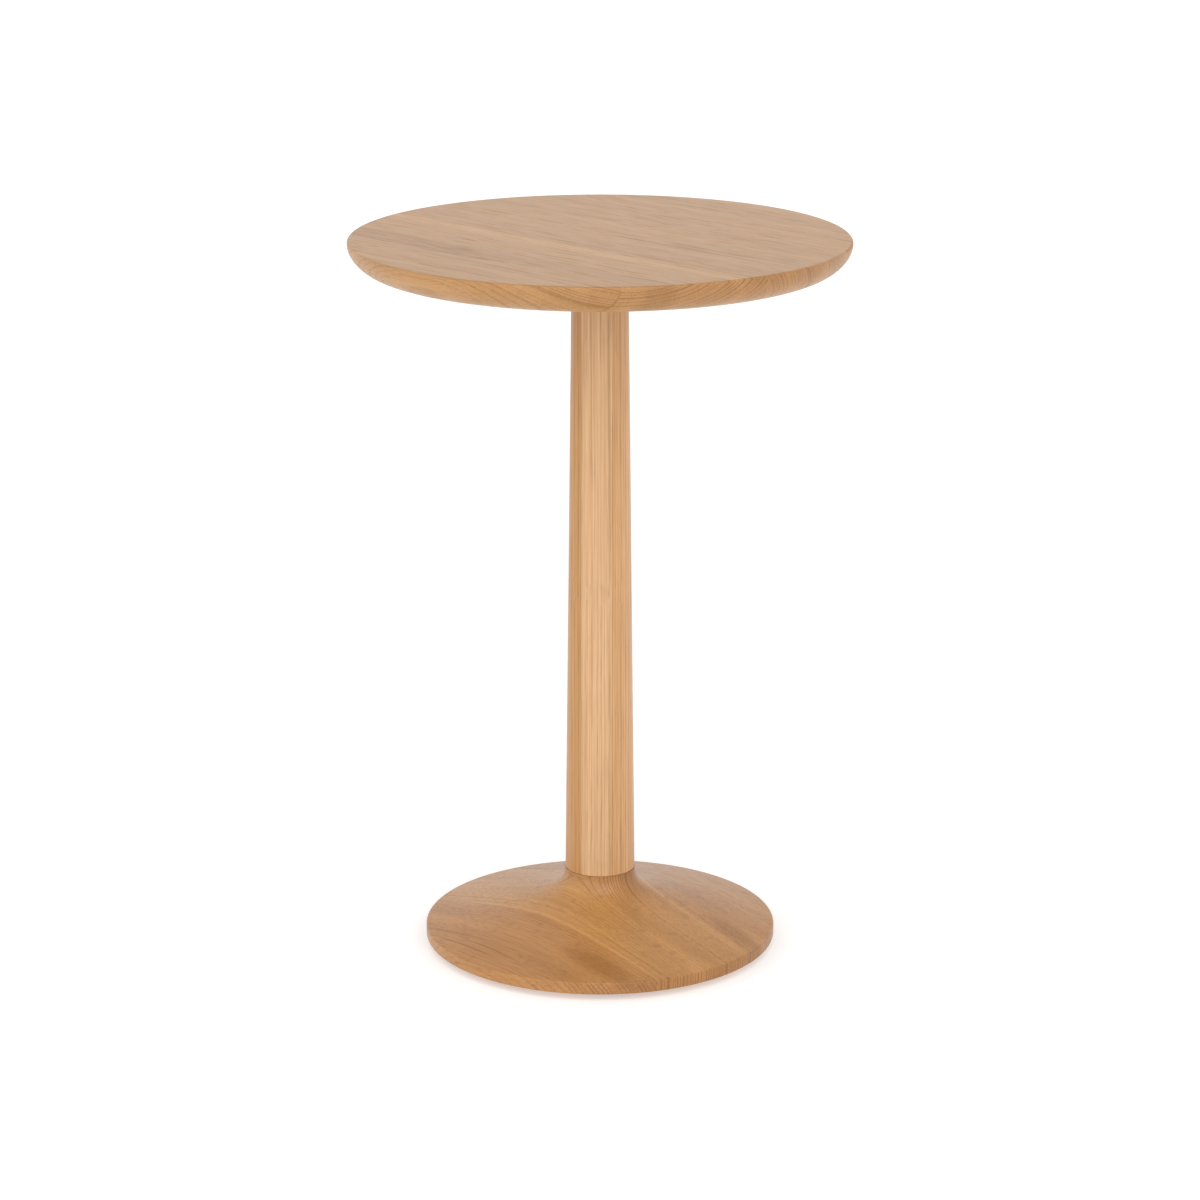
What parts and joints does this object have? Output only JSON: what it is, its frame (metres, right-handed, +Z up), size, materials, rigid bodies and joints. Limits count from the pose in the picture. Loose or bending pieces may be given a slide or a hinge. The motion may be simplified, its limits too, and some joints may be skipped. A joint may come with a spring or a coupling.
{
  "type": "tilt top table",
  "caption": "Round solid-oak pedestal side table: rounded-under round top that tilts to vertical on a block and pivot, slim tapered column, low domed round base.",
  "frame": {"origin": "on the floor, under the column's axis", "axes": "+Z up; X along the grain of the top and base and along the tilt hinge; the +Y side of the top rises"},
  "size_m": [0.38, 0.38, 0.56],
  "materials": {
    "oak_top": "satin lacquer",
    "oak_column": "satin lacquer",
    "oak_base": "satin lacquer",
    "oak_hidden": "satin lacquer",
    "brass": "brushed",
    "bright_steel": "ground",
    "spring_steel": "drawn wire",
    "zinc_steel": "zinc plated",
    "black_steel": "black powder coat",
    "nylon": "moulded"
  },
  "bodies": {
    "pedestal": {"pivot_rod": "bright_steel", "tilt_block": "oak_hidden", "tenon_wedge": "oak_hidden", "column_layer_1": "oak_column", "column_layer_2": "oak_column", "column_layer_3": "oak_column", "column_insert": "zinc_steel", "fixing_bolt": "zinc_steel", "fixing_washer": "zinc_steel", "base_board_1": "oak_base", "base_board_2": "oak_base", "base_board_3": "oak_base", "ballast_plate": "black_steel", "ballast_screws": "zinc_steel", "glide_1": "nylon", "glide_2": "nylon", "glide_3": "nylon", "glide_4": "nylon", "glide_5": "nylon", "glide_screws": "zinc_steel", "strike_plate": "brass", "strike_screws": "brass"},
    "top": {"top_board_1": "oak_top", "top_board_2": "oak_top", "top_board_3": "oak_top", "top_board_4": "oak_top", "bearer_left": "oak_hidden", "bearer_right": "oak_hidden", "bearer_screws": "zinc_steel", "pivot_bush_left": "brass", "pivot_bush_right": "brass", "catch_case": "brass", "catch_screws": "brass", "catch_spring": "spring_steel"},
    "catch": {"catch_bolt": "brass", "catch_knob": "brass"}
  },
  "joints": [
    {"name": "top_tilt", "type": "hinge", "parent": "pedestal", "child": "top", "pos_m": [0, -0.024, 0.527], "axis": [1, 0, 0], "range_deg": [0, 90]},
    {"name": "catch_slide", "type": "slide", "parent": "top", "child": "catch", "axis": [0, 1, 0], "range_m": [0, 0.008], "stiffness_N_per_m": 250, "springref_m": -0.01, "deforming": ["catch_spring"]}
  ]
}
